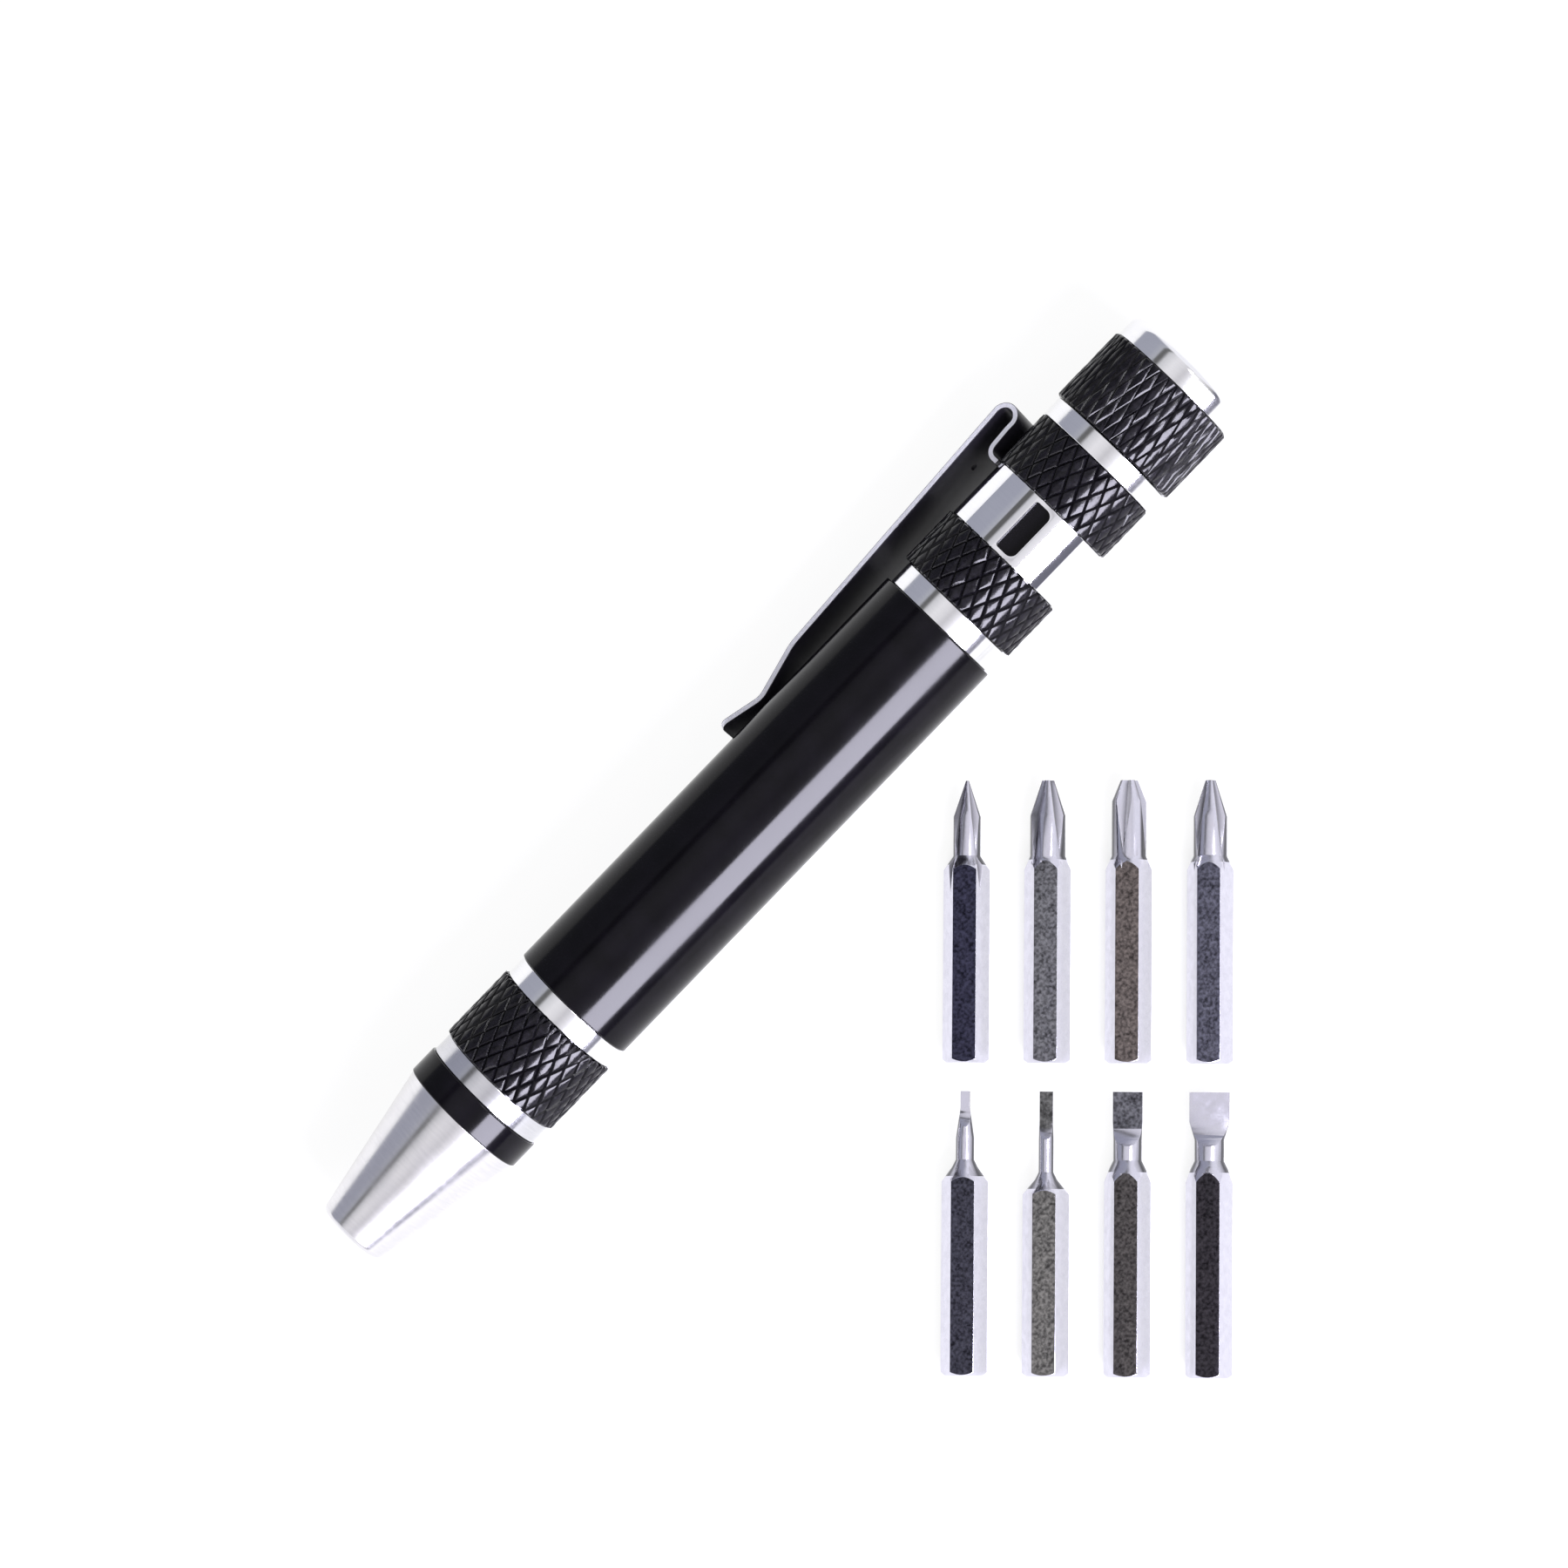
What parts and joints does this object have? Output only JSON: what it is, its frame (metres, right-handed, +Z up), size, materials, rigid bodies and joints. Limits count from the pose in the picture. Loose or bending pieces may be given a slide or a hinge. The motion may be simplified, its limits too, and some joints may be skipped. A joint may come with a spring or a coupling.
{
  "type": "pocket screwdriver",
  "caption": "Pen-sized screwdriver with a hex bit socket in its nose, a sprung pocket clip, a swivel end cap over its bit store, and loose hex bits.",
  "frame": {"origin": "centre of the bit socket's mouth, on the driver's axis, in the plane of the cone's tip", "axes": "+X along the driver towards its tail, +Y towards the clip's side, +Z up from the table that the driver and its bits lie on"},
  "size_m": [0.1195, 0.083, 0.0148],
  "materials": {
    "bright_aluminium": "bright turned",
    "black_aluminium": "gloss black anodised",
    "knurled_aluminium": "black anodised diamond knurl",
    "plain_aluminium": "as turned",
    "chrome": "polished",
    "black_spring_steel": "gloss black, bare bright edges",
    "socket_steel": "plain",
    "magnet": "nickel plated",
    "bit_steel": "ground, nickel plated",
    "rubber": "matt black"
  },
  "bodies": {
    "handle": {"nose_cone": "bright_aluminium", "bit_socket": "socket_steel", "socket_magnet": "magnet", "front_ring": "black_aluminium", "bright_ring_1": "bright_aluminium", "front_grip": "knurled_aluminium", "bright_ring_2": "bright_aluminium", "barrel": "black_aluminium", "bright_ring_3": "bright_aluminium", "middle_grip": "knurled_aluminium", "clip_ring": "chrome", "clip_root": "black_spring_steel", "rear_grip": "knurled_aluminium", "bright_ring_4": "bright_aluminium"},
    "clip": {"clip_arm": "black_spring_steel"},
    "cap_carrier": {"cap_plug": "plain_aluminium", "cap_seal": "rubber", "cap_screw": "socket_steel"},
    "end_cap": {"cap_shell": "knurled_aluminium", "cap_end": "bright_aluminium"},
    "cross_bit_fine": {"cross_bit_fine": "bit_steel"},
    "cross_bit_large": {"cross_bit_large": "bit_steel"},
    "cross_bit_blunt": {"cross_bit_blunt": "bit_steel"},
    "cross_bit_small": {"cross_bit_small": "bit_steel"},
    "slot_bit_needle": {"slot_bit_needle": "bit_steel"},
    "slot_bit_narrow": {"slot_bit_narrow": "bit_steel"},
    "slot_bit_medium": {"slot_bit_medium": "bit_steel"},
    "slot_bit_wide": {"slot_bit_wide": "bit_steel"}
  },
  "joints": [
    {"name": "clip_flex", "type": "hinge", "parent": "handle", "child": "clip", "pos_m": [0.10223, 0.00959, -0.00391], "axis": [0, -0.3777, -0.9259], "range_deg": [0, 8], "stiffness_Nm_per_rad": 0.5, "springref_deg": -5.73},
    {"name": "cap_pull", "type": "slide", "parent": "handle", "child": "cap_carrier", "axis": [1, 0, 0], "range_m": [0, 0.03]},
    {"name": "cap_swivel", "type": "hinge", "parent": "cap_carrier", "child": "end_cap", "pos_m": [0.1126, 0, 0], "axis": [1, 0, 0], "continuous": true},
    {"name": "cross_bit_fine_lift", "type": "slide", "parent": "handle", "child": "cross_bit_fine", "axis": [0, 0, 1], "range_m": [0, 0.03]},
    {"name": "cross_bit_large_lift", "type": "slide", "parent": "handle", "child": "cross_bit_large", "axis": [0, 0, 1], "range_m": [0, 0.03]},
    {"name": "cross_bit_blunt_lift", "type": "slide", "parent": "handle", "child": "cross_bit_blunt", "axis": [0, 0, 1], "range_m": [0, 0.03]},
    {"name": "cross_bit_small_lift", "type": "slide", "parent": "handle", "child": "cross_bit_small", "axis": [0, 0, 1], "range_m": [0, 0.03]},
    {"name": "slot_bit_needle_lift", "type": "slide", "parent": "handle", "child": "slot_bit_needle", "axis": [0, 0, 1], "range_m": [0, 0.03]},
    {"name": "slot_bit_narrow_lift", "type": "slide", "parent": "handle", "child": "slot_bit_narrow", "axis": [0, 0, 1], "range_m": [0, 0.03]},
    {"name": "slot_bit_medium_lift", "type": "slide", "parent": "handle", "child": "slot_bit_medium", "axis": [0, 0, 1], "range_m": [0, 0.03]},
    {"name": "slot_bit_wide_lift", "type": "slide", "parent": "handle", "child": "slot_bit_wide", "axis": [0, 0, 1], "range_m": [0, 0.03]}
  ]
}
